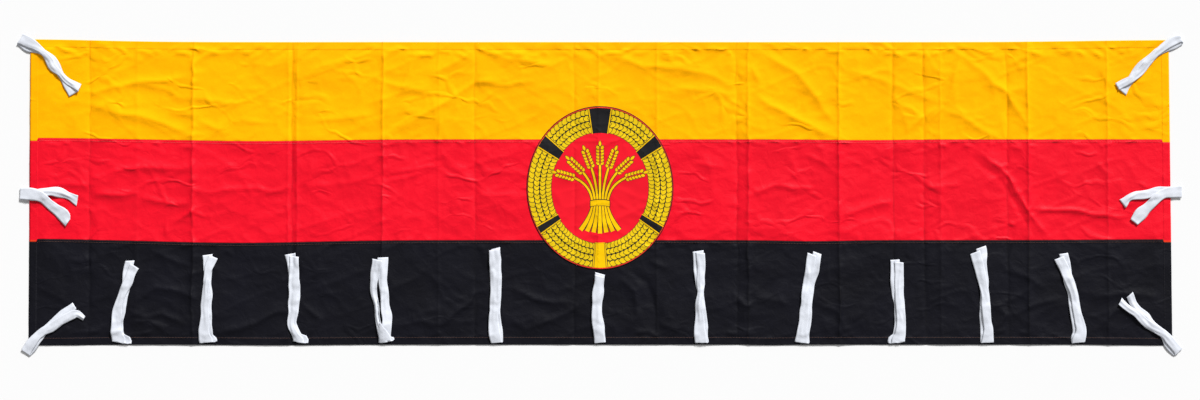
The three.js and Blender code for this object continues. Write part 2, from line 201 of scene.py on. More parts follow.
# Free wrinkles: rise, reach, and the places that the ridge runs through.
WRINKLES = [
    # gold stripe
    (2.4, 15, [(-1340, 265), (-1210, 290), (-1075, 305)]),
    (3.2, 22, [(-1340, 235), (-1200, 200), (-1075, 150)]),
    (1.6, 12, [(-1210, 285), (-1080, 250)]),
    (1.8, 12, [(-1130, 210), (-1070, 200)]),
    (1.5, 12, [(-1065, 255), (-975, 235)]),
    (1.0, 7, [(-925, 270), (-880, 270)]),
    (1.6, 14, [(-950, 200), (-855, 185)]),
    (1.6, 12, [(-1060, 190), (-995, 165)]),
    (1.8, 12, [(-1070, 335), (-1035, 365), (-920, 370)]),
    (1.8, 14, [(-765, 320), (-605, 370)]),
    (1.8, 14, [(-765, 190), (-585, 210)]),
    (1.5, 12, [(-605, 305), (-470, 265)]),
    (2.4, 15, [(-565, 195), (-475, 370)]),
    (2.8, 24, [(-445, 300), (-330, 375)]),
    (2.6, 18, [(-560, 150), (-330, 290), (-235, 310)]),
    (1.8, 13, [(-320, 290), (-170, 290)]),
    (1.8, 13, [(-260, 365), (-130, 335), (-75, 360)]),
    (2.4, 18, [(0, 365), (265, 315), (370, 285)]),
    (1.6, 14, [(160, 275), (370, 265)]),
    (1.6, 10, [(335, 260), (375, 230)]),
    (1.6, 12, [(395, 330), (420, 280)]),
    (2.6, 18, [(435, 365), (515, 320), (625, 185)]),
    (3.0, 18, [(405, 255), (505, 205), (625, 150)]),
    (2.0, 16, [(655, 330), (790, 280)]),
    (1.8, 14, [(775, 290), (890, 245)]),
    (2.0, 12, [(805, 160), (890, 235)]),
    (1.6, 10, [(870, 200), (905, 235)]),
    (2.2, 16, [(905, 220), (1050, 150)]),
    (2.2, 12, [(960, 365), (910, 240)]),
    (2.4, 15, [(965, 350), (1070, 265), (1125, 160)]),
    (1.4, 10, [(1075, 260), (1115, 285)]),
    (1.6, 10, [(1075, 340), (1125, 365)]),
    # red stripe
    (1.5, 12, [(-1450, 30), (-1340, 20)]),
    (2.8, 10, [(-1330, 0), (-1210, -5)]),
    (2.4, 14, [(-1280, 55), (-1180, 65), (-1075, 65)]),
    (2.4, 12, [(-1210, -15), (-1140, -30), (-1075, -20)]),
    (2.2, 9, [(-1115, -80), (-1055, -25)]),
    (1.8, 9, [(-1065, 15), (-1020, 5), (-820, 10)]),
    (1.4, 6, [(-1140, -70), (-1135, -120)]),
    (1.2, 12, [(-765, 20), (-575, 30)]),
    (1.6, 10, [(-610, 70), (-560, 115)]),
    (1.8, 12, [(-570, 50), (-425, 80)]),
    (1.6, 10, [(-570, 20), (-445, 65)]),
    (1.6, 12, [(-395, 70), (-325, 30)]),
    (1.4, 10, [(-320, -5), (-220, 5)]),
    (1.4, 10, [(-320, 60), (-200, 55)]),
    (1.5, 12, [(245, 80), (325, 65)]),
    (1.4, 10, [(545, 100), (605, 75)]),
    (2.0, 12, [(405, 10), (580, 20)]),
    (1.8, 14, [(630, -55), (765, -15)]),
    (1.4, 9, [(860, 20), (950, 30)]),
    (2.6, 8, [(990, 125), (1080, 40), (1120, -40), (1180, -120)]),
    (-1.3, 10, [(980, 100), (1060, 30), (1100, -45), (1150, -120)]),
    (3.0, 8, [(1125, -40), (1330, -55), (1385, -60)]),
    (1.4, 10, [(1310, 80), (1335, 55)]),
    # black stripe
    (1.4, 12, [(-1480, -245), (-1390, -285)]),
    (1.8, 11, [(-1395, -175), (-1330, -180), (-1342, -215)]),
    (1.8, 11, [(-1185, -150), (-1135, -175), (-1075, -190)]),
    (2.2, 12, [(-1215, -278), (-1168, -246), (-1105, -254), (-1058, -278)]),
    (2.2, 12, [(-1232, -309), (-1184, -325), (-1150, -317), (-1090, -349)]),
    (1.8, 10, [(-1240, -341), (-1200, -333), (-1137, -365)]),
    (2.6, 15, [(-995, -365), (-916, -349), (-829, -301)]),
    (2.4, 13, [(-785, -294), (-742, -325), (-770, -370)]),
    (1.4, 16, [(-758, -254), (-600, -199)]),
    (1.6, 16, [(-545, -254), (-450, -199)]),
    (1.8, 13, [(-553, -357), (-474, -333), (-395, -341)]),
    (3.0, 13, [(-415, -345), (-345, -290), (-324, -245)]),
    (2.6, 13, [(-237, -246), (-174, -278), (-79, -290)]),
    (2.4, 14, [(-237, -325), (-189, -360), (-95, -317), (-39, -286)]),
    (1.6, 11, [(-174, -349), (-142, -317)]),
    (-2.6, 14, [(79, -207), (130, -238), (146, -301), (142, -360)]),
    (2.4, 16, [(48, -222), (96, -262), (104, -320), (72, -360)]),
    (2.0, 13, [(150, -333), (205, -362)]),
    (1.4, 10, [(126, -175), (182, -191)]),
    (2.0, 12, [(355, -260), (395, -305)]),
    (1.6, 13, [(411, -278), (490, -294)]),
    (2.0, 14, [(569, -286), (624, -309), (655, -362)]),
    (1.6, 16, [(671, -341), (695, -286)]),
    (1.4, 14, [(869, -254), (932, -238)]),
    (2.2, 13, [(1042, -286), (1074, -325), (1050, -362)]),
    (2.0, 13, [(1058, -207), (1121, -222), (1169, -246)]),
    (2.0, 13, [(1090, -325), (1137, -294), (1216, -278)]),
    (2.0, 14, [(1295, -278), (1374, -262), (1469, -278)]),
    (2.0, 15, [(1303, -349), (1366, -309), (1421, -333)]),
]

WRINKLE_SCALE = 1.9
WRINKLE_SWAY = 7
EDGE_LIE = 0.32
EDGE_REACH = 45
BASE_LIFT = 2.4
LOWEST_LIE = 0.15

# Swells of the whole cloth: rise, cell along, cell across, seed, turn.
SWELLS = [
    (1.2, 240, 150, 11, 0.3),
    (1.3, 95, 55, 12, -0.25),
    (0.6, 38, 24, 13, 0.5),
    (0.25, 17, 11, 16, -0.4),
]

# Long soft folds: rise, sharpness, then as for the swells.
SOFT_FOLDS = [
    (1.5, 6, 130, 62, 14, 0.35),
    (1.1, 8, 90, 50, 15, -0.5),
    (0.7, 8, 70, 26, 17, 0.15),
]


def crease_offset(x, y, index, at, crinkle):
    """Signed distance from a storage crease, whose line wavers."""
    waver = 2.2 * noise_along(y, 70, 40 + index)
    waver = waver + crinkle * 2.5 * noise_along(y, 16, 80 + index)
    return place_along(x, y) - at - waver


def storage_creases(x, y):
    """Height of all storage creases: a wide tent with a sharp line on top, uneven on its two flanks."""
    height = np.zeros_like(x)
    for index, (at, rise, reach, crinkle) in enumerate(STORAGE_CREASES):
        offset = crease_offset(x, y, index, at, crinkle)
        near = np.abs(offset) < 6 * reach
        offset = offset[near]
        up = y[near]
        strength = 1 + 0.5 * noise_along(up, 45, 120 + index)
        strength += crinkle * 0.5 * noise_along(up, 14, 160 + index)
        left, right = (noise_along(up, 60, seed + index) for seed in (260, 290))
        uneven = np.where(offset < 0, left, right)
        tent = np.exp(-np.abs(offset) / (reach * (1 + 0.5 * uneven)))
        sharp = np.exp(-np.abs(offset) / 3)
        height[near] += rise * strength * (0.65 * tent + 0.45 * sharp)
    return height


def crease_painted_shade(x, y):
    """How strongly painted shade darkens the line of a storage crease at each place, from 0 to 1."""
    painted_shade = np.zeros_like(x)
    for index, (at, rise, reach, crinkle) in enumerate(STORAGE_CREASES):
        apart = crease_offset(x, y, index, at, crinkle)
        broken = 0.55 + 0.6 * noise_along(y, 24, 400 + index)
        painted_shade += min(1, abs(rise) / 4.5) * broken * np.exp(-((apart / 1.7) ** 2))
    return np.clip(painted_shade, 0, 1)


def soft_ridge(x, y, points, reach, rise):
    """A ridge along straight runs, tapering to nothing at both ends."""
    runs = [math.dist(a, b) for a, b in zip(points, points[1:])]
    total = sum(runs)
    nearest = np.full(x.shape, np.inf)
    place = np.zeros_like(x)
    passed = 0.0
    for (from_x, from_y), (to_x, to_y), run in zip(points, points[1:], runs):
        part = ((x - from_x) * (to_x - from_x) + (y - from_y) * (to_y - from_y)) / run ** 2
        part = np.clip(part, 0, 1)
        apart = np.hypot(x - from_x - part * (to_x - from_x), y - from_y - part * (to_y - from_y))
        closer = apart < nearest
        nearest = np.where(closer, apart, nearest)
        place = np.where(closer, (passed + part * run) / total, place)
        passed += run
    taper = np.sqrt(np.clip(4 * place * (1 - place), 0.02, 1))
    round_part = np.exp(-((nearest / (0.9 * reach)) ** 2))
    sharp_part = np.exp(-nearest / (0.4 * reach))
    return rise * taper * (0.35 * round_part + 0.65 * sharp_part)


def wrinkles(x, y):
    """Height of the free wrinkles and gathers, each swayed a little off its straight runs."""
    height = np.zeros_like(x)
    sway_x, sway_y = (WRINKLE_SWAY * smooth_noise(x, y, 60, 60, seed) for seed in (301, 302))
    for rise, reach, points in WRINKLES + GATHERS:
        xs, ys = zip(*points)
        margin = 3 * reach + 10
        near = (x > min(xs) - margin) & (x < max(xs) + margin)
        near &= (y > min(ys) - margin) & (y < max(ys) + margin)
        at_x, at_y = (x + sway_x)[near], (y + sway_y)[near]
        height[near] += soft_ridge(at_x, at_y, points, reach, WRINKLE_SCALE * rise)
    return height


# Where the stitching has drawn the cloth in most: edge, stitch line's inset, spacing, lift and spans.
GATHERED = [
    (
        top_edge,
        -HEM,
        30,
        1.7,
        [(-1470, -1235), (-1210, -870), (-605, -80), (0, 120), (160, 370), (475, 790), (815, 1400)],
    ),
    (gold_seam, -FELL, 60, 1.0, [(-1470, -1050), (-560, -330), (330, 640), (890, 1400)]),
    (red_seam, -FELL, 60, 1.0, [(-1100, -860), (-380, -240), (100, 380)]),
    (bottom_edge, HEM, 50, 1.3, [(-1450, -1000), (-500, -250), (80, 640), (1000, 1300)]),
]


def gathers():
    """Short seeded ridges beside the stitch lines, running nearly along them."""
    chance = np.random.default_rng(77)
    ridges = []
    for edge, inset, pitch, lift, spans in GATHERED:
        into = 1 if inset > 0 else -1
        for start, end in spans:
            for at in np.arange(start, end, pitch):
                x = at + chance.uniform(-12, 12)
                y = float(edge(x)) + inset + into * chance.uniform(-6, 12)
                run = chance.uniform(16, 46)
                fall = into * chance.uniform(-7, 14)
                rise = lift * chance.uniform(0.8, 1.9)
                reach = chance.uniform(4.5, 8)
                ridges.append((rise, reach, [(x, y), (x + run / 2, y + fall / 3), (x + run, y + fall)]))
    return ridges


GATHERS = gathers()


def puckers(x, y):
    """Short gathers across the stitch lines."""
    along = place_along(x, y)
    slow = 0.55 + 0.45 * noise_along(along, 150, 210)
    # Stitch line, rise, reach, pitch, lean and seed.
    rows = [
        (top_edge(along) - HEM, 4.6, 20, 19, 1.5, 211),
        (gold_seam(along) - FELL / 2, 0.9, 14, 13, 0.6, 212),
        (red_seam(along) - FELL / 2, 0.9, 14, 13, 0.6, 213),
        (bottom_edge(along) + HEM, 1.6, 14, 15, 1.0, 214),
    ]
    height = np.zeros_like(x)
    for line, rise, reach, pitch, lean, seed in rows:
        slant = along + lean * (y - line) * np.sign(noise_along(along, 210, seed + 20))
        gather = noise_along(slant, pitch, seed)
        height += rise * slow * gather * np.exp(-np.abs(y - line) / reach)
    from_side = HALF_LENGTH - HEM - np.abs(along)
    gather = noise_along(y, 15, 215)
    return height + 0.6 * gather * np.exp(-np.abs(from_side) / 14)


def inside_by(x, y):
    """How far inside the flag's outline a place is; less than nothing outside."""
    along = place_along(x, y)
    from_long_edges = np.minimum(top_edge(along) - y, y - bottom_edge(along))
    return np.minimum(HALF_LENGTH - np.abs(along), from_long_edges)


def lay_height(x, y):
    """Height of the cloth's underside above the floor."""
    height = np.full_like(x, BASE_LIFT, float)
    for rise, *lattice in SWELLS:
        height += rise * smooth_noise(x, y, *lattice)
    for rise, sharpness, *lattice in SOFT_FOLDS:
        height += rise * (1 - np.abs(smooth_noise(x, y, *lattice))) ** sharpness
    height += storage_creases(x, y) + wrinkles(x, y) + puckers(x, y)
    height *= EDGE_LIE + (1 - EDGE_LIE) * smooth_step(0, EDGE_REACH, inside_by(x, y))
    return LOWEST_LIE + 0.5 * (height + np.sqrt(height ** 2 + 0.6 ** 2))


def border_rise(x, y):
    """How much thicker the cloth is in its hems and felled seams."""
    along = place_along(x, y)
    inside_ends = HALF_LENGTH - HEM - np.abs(along)
    into_hems = [y - (top_edge(along) - HEM), bottom_edge(along) + HEM - y, -inside_ends]
    hem = smooth_step(-STEP_REACH, STEP_REACH, np.maximum.reduce(into_hems))
    rise = HEM_RISE * hem * (0.7 + 0.3 * smooth_noise(x, y, 31, 31, 216))
    for seam in (gold_seam(along), red_seam(along)):
        under = smooth_step(-STEP_REACH, STEP_REACH, y - (seam - FELL)) * (y < seam)
        rise += FELL_RISE * under * (inside_ends > 0)
    return rise


def face_height(x, y):
    """Height of the cloth's upper face above the floor."""
    return lay_height(x, y) + CLOTH + border_rise(x, y)


# ---------------------------------------------------------------- meshes


def add_object(name, data):
    piece = bpy.data.objects.new(name, data)
    bpy.context.scene.collection.objects.link(piece)
    return piece


def add_mesh(name, points, faces, materials, face_material=None):
    """A smooth mesh object from layout points, with one material index for each face."""
    mesh = bpy.data.meshes.new(name)
    mesh.from_pydata(to_frame(points).tolist(), [], faces)
    for material in materials:
        mesh.materials.append(material)
    if face_material is not None:
        mesh.polygons.foreach_set("material_index", face_material)
    mesh.polygons.foreach_set("use_smooth", [True] * len(mesh.polygons))
    mesh.update()
    return add_object(name, mesh)


def grid_faces(columns, rows):
    """Faces of a closed sheet: an upper grid, a lower grid, and the rim between them."""
    i, j = np.meshgrid(np.arange(columns - 1), np.arange(rows - 1), indexing="ij")
    upper = (i * rows + j).ravel()
    lower = upper + columns * rows
    faces = [np.stack([upper, upper + rows, upper + rows + 1, upper + 1], 1)]
    faces.append(np.stack([lower, lower + 1, lower + rows + 1, lower + rows], 1))
    edge = [k * rows for k in range(columns)]
    edge += [(columns - 1) * rows + k for k in range(1, rows)]
    edge += [k * rows + rows - 1 for k in range(columns - 2, -1, -1)]
    edge += list(range(rows - 2, 0, -1))
    around = np.array(edge)
    following = np.roll(around, -1)
    below = columns * rows
    faces.append(np.stack([around, around + below, following + below, following], 1))
    return np.concatenate(faces)


def panel_columns():
    """Even columns, set closer beside each storage crease and at the hem lines."""
    places = set(np.arange(-HALF_LENGTH, HALF_LENGTH + 1, COLUMN_STEP).tolist())
    for at, rise, _, _ in STORAGE_CREASES:
        if abs(rise) > 1.3:
            nearest = round(at / COLUMN_STEP) * COLUMN_STEP
            places.update(nearest + CREASE_STEP * k for k in range(-5, 6))
    for side in (-1, 1):
        line = HALF_LENGTH - HEM
        places.update(side * (line + step) for step in (-1.5, -0.5, 0.5, 1.5))
    return np.array(sorted(places))


def panel_rows(width, low_rows, high_rows):
    """Rows across a stripe: chosen ones near its long edges and even ones between."""
    high = [width - row for row in high_rows]
    start, end = low_rows[-1], min(high)
    count = round((end - start) / COLUMN_STEP)
    between = [start + (end - start) * k / count for k in range(1, count)]
    return np.array([*low_rows, *between, *sorted(high)])


PLAIN_ROWS = [0, 2, 5]
FELL_ROWS = [0, 2, 5, FELL - 0.9, FELL, FELL + 0.9, 11]
HEM_ROWS = [0, 2, 6, 11, 15.5, HEM - 1, HEM, HEM + 1, 24]


def make_stripe(name, low, high, low_rows, high_rows, materials, sliver=False):
    """One stripe as a closed sheet, with painted shade marked along the storage creases.

    With a sliver, its lower edge in the side hems takes the second material.
    """
    columns = panel_columns()
    width = float(high(np.array(0.0)) - low(np.array(0.0)))
    rows = panel_rows(width, low_rows, high_rows)
    along = np.repeat(columns, len(rows))
    row = np.tile(rows, len(columns))
    y = low(along) + row / width * (high(along) - low(along))
    x = place_across(along, y)
    upper = np.stack([x, y, face_height(x, y)], 1)
    lower = np.stack([x, y, lay_height(x, y)], 1)
    faces = grid_faces(len(columns), len(rows))
    kind = None
    if sliver:
        corner = faces[:, 0] % len(along)
        in_hem = np.abs(along[corner] + COLUMN_STEP / 2) > HALF_LENGTH - HEM
        kind = (in_hem & (row[corner] < FELL_ROWS[2])).astype(int).tolist()
    piece = add_mesh(name, np.concatenate([upper, lower]), faces.tolist(), materials, kind)
    # Painted shade along the creases, kept on the mesh for the cloth's material.
    painted_shade = piece.data.attributes.new("painted_shade", "FLOAT", "POINT")
    painted_shade.data.foreach_set("value", np.tile(crease_painted_shade(x, y), 2))
    return piece


# ---------------------------------------------------------------- materials


def sockets(node, **values):
    """Constant values, set on a node's own sockets."""
    for name, value in values.items():
        node.inputs[name.replace("_", " ")].default_value = value


def noise(nodes, link, place, **values):
    """Noise over the piece's own coordinates."""
    texture = nodes.new("ShaderNodeTexNoise")
    sockets(texture, **values)
    link(place.outputs["Object"], texture.inputs["Vector"])
    return texture


def combined(nodes, link, operation, first, second):
    """Two values added or multiplied."""
    node = nodes.new("ShaderNodeMath")
    node.operation = operation
    link(first, node.inputs[0])
    link(second, node.inputs[1])
    return node.outputs[0]


def smooth_range(nodes, link, value, **limits):
    """A value taken smoothly from one range to another."""
    node = nodes.new("ShaderNodeMapRange")
    node.interpolation_type = "SMOOTHSTEP"
    sockets(node, **limits)
    link(value, node.inputs["Value"])
    return node.outputs["Result"]


def bump_of(nodes, link, height, distance, strength=1.0, below=None):
    """The surface's normal with a height bumped onto it, over the bump below."""
    node = nodes.new("ShaderNodeBump")
    sockets(node, Strength=strength, Distance=distance * MM)
    link(height, node.inputs["Height"])
    if below is not None:
        link(below, node.inputs["Normal"])
    return node.outputs["Normal"]


# How bright the studio light makes a white cloth, so that the brightest dye overexposes a little.
LIGHT_LEVEL = 1.2


def linear(red, green, blue):
    """A colour as the lit cloth shows it, in sRGB from 0 to 255, to its linear reflectance."""
    parts = []
    for part in (red, green, blue):
        share = part / 255
        light = share / 12.92 if share <= 0.04045 else ((share + 0.055) / 1.055) ** 2.4
        parts.append(min(light / LIGHT_LEVEL, 1))
    return (*parts, 1)


# A wave texture repeats 20 / (2 pi) times in each unit of its scale.
THREAD_PERIOD = 2 * math.pi / 20
FUZZ_HEIGHT = 0.25
# How far each cloth's colour goes towards its painted crease shade where that shade is strongest.
PAINTED_SHADE_DEPTH = 0.6


def small_creases(nodes, link, place, height):
    """Thin short creases, mostly along the flag, that fade in and out."""
    swayed = noise(nodes, link, place, Scale=9.0, Detail=2.0)
    offset = nodes.new("ShaderNodeVectorMath")
    offset.operation = "SCALE"
    offset.inputs["Scale"].default_value = 0.09
    link(swayed.outputs["Color"], offset.inputs[0])
    moved = nodes.new("ShaderNodeVectorMath")
    link(place.outputs["Object"], moved.inputs[0])
    link(offset.outputs[0], moved.inputs[1])
    drawn_out = nodes.new("ShaderNodeMapping")
    sockets(drawn_out, Scale=(7.0, 15.0, 1.0), Rotation=(0, 0, 0.12))
    link(moved.outputs[0], drawn_out.inputs["Vector"])
    cells = nodes.new("ShaderNodeTexVoronoi")
    cells.feature = "DISTANCE_TO_EDGE"
    sockets(cells, Scale=1.0)
    link(drawn_out.outputs[0], cells.inputs["Vector"])
    apart = cells.outputs["Distance"]
    line = smooth_range(nodes, link, apart, From_Min=0.0, From_Max=0.11, To_Min=1.0, To_Max=0.0)
    spots = noise(nodes, link, place, Scale=6.5, Detail=2.0)
    fading = smooth_range(nodes, link, spots.outputs["Fac"], From_Min=0.48, From_Max=0.62)
    return bump_of(nodes, link, combined(nodes, link, "MULTIPLY", line, fading), height)


def cloth_material(
    name,
    colour,
    shade=0.12,
    thread=0.9,
    roughness=0.75,
    sheen=0.15,
    specular=0.2,
    painted_shade_colour=None,
    relief=0.25,
    crumple=0.0,
    creased=0.0,
):
    """Woven cloth: uneven dye, crossing threads, fuzz, fine crumpling and painted shade along the creases.
    """
    material = bpy.data.materials.new(name)
    material.use_nodes = True
    nodes = material.node_tree.nodes
    link = material.node_tree.links.new
    surface = nodes["Principled BSDF"]
    surface.inputs["Roughness"].default_value = roughness
    surface.inputs["Specular IOR Level"].default_value = specular
    surface.inputs["Sheen Weight"].default_value = sheen
    surface.inputs["Sheen Roughness"].default_value = 0.45
    surface.inputs["Sheen Tint"].default_value = colour
    place = nodes.new("ShaderNodeTexCoord")

    patches = noise(nodes, link, place, Scale=5.0, Detail=4.0, Roughness=0.6)
    slubs = noise(nodes, link, place, Scale=420.0, Detail=3.0, Roughness=0.7)
    both = combined(nodes, link, "ADD", patches.outputs["Fac"], slubs.outputs["Fac"])
    spread = nodes.new("ShaderNodeMapRange")
    sockets(spread, From_Min=0.7, From_Max=1.3, To_Min=1 - shade, To_Max=1 + shade * 0.4)
    link(both, spread.inputs["Value"])
    dyed = nodes.new("ShaderNodeHueSaturation")
    dyed.inputs["Color"].default_value = colour
    link(spread.outputs["Result"], dyed.inputs["Value"])
    last = dyed.outputs["Color"]
    # Painted shade: the darker colour is mixed in along the creases that the mesh marks.
    if painted_shade_colour is not None:
        shade_attribute = nodes.new("ShaderNodeAttribute")
        shade_attribute.attribute_name = "painted_shade"
        share = nodes.new("ShaderNodeMath")
        share.operation = "MULTIPLY"
        share.inputs[1].default_value = PAINTED_SHADE_DEPTH
        link(shade_attribute.outputs["Fac"], share.inputs[0])
        blend = nodes.new("ShaderNodeMix")
        blend.data_type = "RGBA"
        link(share.outputs[0], blend.inputs["Factor"])
        link(last, blend.inputs["A"])
        blend.inputs["B"].default_value = painted_shade_colour
        last = blend.outputs["Result"]
    link(last, surface.inputs["Base Color"])

    heights = []
    for direction in ("X", "Y"):
        threads = nodes.new("ShaderNodeTexWave")
        threads.bands_direction = direction
        sockets(threads, Scale=THREAD_PERIOD / (thread * MM), Distortion=0.6, Detail=1.0)
        link(place.outputs["Object"], threads.inputs["Vector"])
        heights.append(threads.outputs["Fac"])
    woven = combined(nodes, link, "MULTIPLY", *heights)
    fuzz = combined(nodes, link, "ADD", woven, slubs.outputs["Fac"])
    normal = None
    if crumple:
        uneven = noise(nodes, link, place, Scale=42.0, Detail=4.0, Roughness=0.55, Distortion=0.8)
        normal = small_creases(nodes, link, place, creased)
        normal = bump_of(nodes, link, uneven.outputs["Fac"], crumple, below=normal)
    normal = bump_of(nodes, link, fuzz, FUZZ_HEIGHT, strength=relief, below=normal)
    link(normal, surface.inputs["Normal"])
    return material


GOLD_CLOTH = cloth_material(
    "gold_cloth",
    linear(278, 189, 0),
    shade=0.09,
    sheen=0.0,
    specular=0.04,
    relief=0.45,
    crumple=0.6,
    creased=1.5,
    # Painted shade along the creases.
    painted_shade_colour=linear(206, 128, 0),
)
RED_CLOTH = cloth_material(
    "red_cloth",
    linear(249, 0, 36),
    shade=0.1,
    sheen=0.0,
    specular=0.19,
    roughness=0.5,
    relief=0.45,
    crumple=1.2,
    creased=1.4,
    # Painted shade along the creases.
    painted_shade_colour=linear(170, 0, 22),
)
BLACK_CLOTH = cloth_material(
    "black_cloth",
    linear(11, 11, 22),
    shade=0.5,
    sheen=0.0,
    specular=0.14,
    roughness=0.64,
    crumple=1.6,
    creased=0.8,
    relief=0.4,
    # Painted shade along the creases.
    painted_shade_colour=linear(6, 6, 8),
)
TURNED_CLOTH = cloth_material("turned_seam_cloth", linear(245, 60, 20))
TAPE_CLOTH = cloth_material(
    "white_tape",
    linear(226, 230, 239),
    shade=0.06,
    thread=1.1,
    roughness=0.85,
    sheen=0.05,
    relief=0.5,
)
PRINT_RED = cloth_material("print_red", linear(246, 6, 36), shade=0.08, sheen=0.0)
PRINT_GOLD = cloth_material("print_gold", linear(252, 200, 6), shade=0.08, sheen=0.0, specular=0.05)
PRINT_LEAF = cloth_material("print_leaf", linear(244, 206, 24), shade=0.2, sheen=0.0, specular=0.05)
PRINT_DARK = cloth_material("print_dark", linear(34, 32, 20), shade=0.3, sheen=0.0)
PRINT_BLACK = cloth_material("print_black", linear(20, 20, 24), shade=0.2, sheen=0.0)


def thread_material(name, *colour):
    return cloth_material(name, linear(*colour), thread=0.4)


GOLD_THREAD = thread_material("gold_thread", 236, 166, 0)
PALE_THREAD = thread_material("pale_thread", 250, 120, 120)
RUST_THREAD = thread_material("rust_thread", 124, 92, 80)
DARK_THREAD = thread_material("dark_thread", 90, 40, 30)
RED_THREAD = thread_material("red_thread", 190, 8, 28)
GREY_THREAD = thread_material("grey_thread", 58, 56, 62)


# ---------------------------------------------------------------- stripes

gold_stripe = make_stripe("gold_stripe", gold_seam, top_edge, PLAIN_ROWS, HEM_ROWS, [GOLD_CLOTH])
red_cloths = [RED_CLOTH, TURNED_CLOTH]
red_stripe = make_stripe("red_stripe", red_seam, gold_seam, PLAIN_ROWS, FELL_ROWS, red_cloths, sliver=True)
black_stripe = make_stripe("black_stripe", bottom_edge, red_seam, HEM_ROWS, FELL_ROWS, [BLACK_CLOTH])


# ---------------------------------------------------------------- stitches

STITCH = 2.8
STITCH_PITCH = 4.0
STITCH_WIDTH = 0.7
STITCH_RISE = 0.35


def stitch_row(name, points, material, pitch=STITCH_PITCH, length=STITCH, lift=0.0):
    """A row of stitches along a path, joined in one mesh, each a small pointed ridge."""
    path = np.asarray(points, float)
    runs = np.concatenate([[0], np.cumsum(np.hypot(*np.diff(path, axis=0).T))])
    count = int(runs[-1] / pitch)
    places = (np.arange(count) + 0.5) * pitch
    x = np.interp(places, runs, path[:, 0])
    y = np.interp(places, runs, path[:, 1])
    ahead_x = np.interp(places + 1, runs, path[:, 0]) - np.interp(places - 1, runs, path[:, 0])
    ahead_y = np.interp(places + 1, runs, path[:, 1]) - np.interp(places - 1, runs, path[:, 1])
    turn = np.arctan2(ahead_y, ahead_x)
    cos, sin = np.cos(turn), np.sin(turn)
    half, wide, tall = length / 2, STITCH_WIDTH / 2, STITCH_RISE
    shape = [(-half, 0, 0)]
    for end in (-0.55 * half, 0.55 * half):
        shape += [(end, -wide, 0), (end, 0, tall), (end, wide, 0), (end, 0, -tall)]
    shape.append((half, 0, 0))
    corners = []
    for ahead, aside, up in shape:
        at_x = x + ahead * cos - aside * sin
        at_y = y + ahead * sin + aside * cos
        corners.append(np.stack([at_x, at_y, face_height(at_x, at_y) + lift + up + 0.05], 1))
    points = np.stack(corners, 1).reshape(-1, 3)
    ends = [(0, 1 + (k + 1) % 4, 1 + k) for k in range(4)]
    ends += [(9, 5 + k, 5 + (k + 1) % 4) for k in range(4)]
    sides = [(1 + k, 1 + (k + 1) % 4, 5 + (k + 1) % 4, 5 + k) for k in range(4)]
    faces = [tuple(10 * n + v for v in face) for n in range(count) for face in ends + sides]
    return add_mesh(name, points, faces, [material])


STITCH_LINE = 1.3
EDGE_LINE = 1.2


def row_along(edge, offset):
    """The route of a stitch row beside a long edge or seam."""
    along = np.linspace(HEM - HALF_LENGTH, HALF_LENGTH - HEM, 400)
    y = edge(along) + offset
    return np.stack([place_across(along, y), y], 1)


def side_rows(colour, low, high, material):
    """The stitch rows of one stripe's two side hems."""
    y = np.linspace(low, high, 60)
    rows = []
    for side, place in (("left", HEM - HALF_LENGTH - EDGE_LINE), ("right", HALF_LENGTH - HEM + EDGE_LINE)):
        route = np.stack([place_across(np.full_like(y, place), y), y], 1)
        rows.append(stitch_row(f"stitches_{colour}_{side}_hem", route, material))
    return rows


stitch_rows = {
    gold_stripe: [
        stitch_row("stitches_top_hem", row_along(top_edge, STITCH_LINE - HEM), GOLD_THREAD),
        *side_rows("gold", GOLD_SEAM, TOP_EDGE, GOLD_THREAD),
    ],
    red_stripe: [
        stitch_row("stitches_gold_seam", row_along(gold_seam, STITCH_LINE - FELL), PALE_THREAD),
        stitch_row("stitches_gold_seam_edge", row_along(gold_seam, -EDGE_LINE), RED_THREAD),
        *side_rows("red", RED_SEAM, GOLD_SEAM - FELL, RED_THREAD),
    ],
    black_stripe: [
        stitch_row("stitches_red_seam", row_along(red_seam, STITCH_LINE - FELL), RUST_THREAD),
        stitch_row("stitches_red_seam_edge", row_along(red_seam, -EDGE_LINE), DARK_THREAD),
        stitch_row("stitches_bottom_hem", row_along(bottom_edge, HEM - STITCH_LINE), RUST_THREAD),
        *side_rows("black", BOTTOM_EDGE, RED_SEAM - FELL, GREY_THREAD),
    ],
}


# ---------------------------------------------------------------- medallion

LINE = 1.7
RING_INNER = (128, 146)
RING_OUTER = (190, 210)
LEAF_LENGTH = 25
LEAF_WIDTH = 17.5
LEAF_PITCH = 11.5
LEAF_OUTLINE = 1.5
LEAF_SHARES = (0.12, 0.37, 0.63, 0.88)
BRANCH_START = -85
BRANCH_END = 84


def oval(half_width, half_height, count=160):
    angles = [2 * math.pi * k / count for k in range(count)]
    return [(half_width * math.cos(a), half_height * math.sin(a)) for a in angles]


def ring_place(angle, share):
    """A point of the wreath, from its inner edge (0) to its outer edge (1)."""
    half_width = RING_INNER[0] + share * (RING_OUTER[0] - RING_INNER[0])
    half_height = RING_INNER[1] + share * (RING_OUTER[1] - RING_INNER[1])
    return (half_width * math.cos(angle), half_height * math.sin(angle))


def ring_sector(start, end, inner=0.0, outer=1.0, count=40):
    angles = [start + (end - start) * k / count for k in range(count + 1)]
    return [ring_place(a, outer) for a in angles] + [ring_place(a, inner) for a in reversed(angles)]


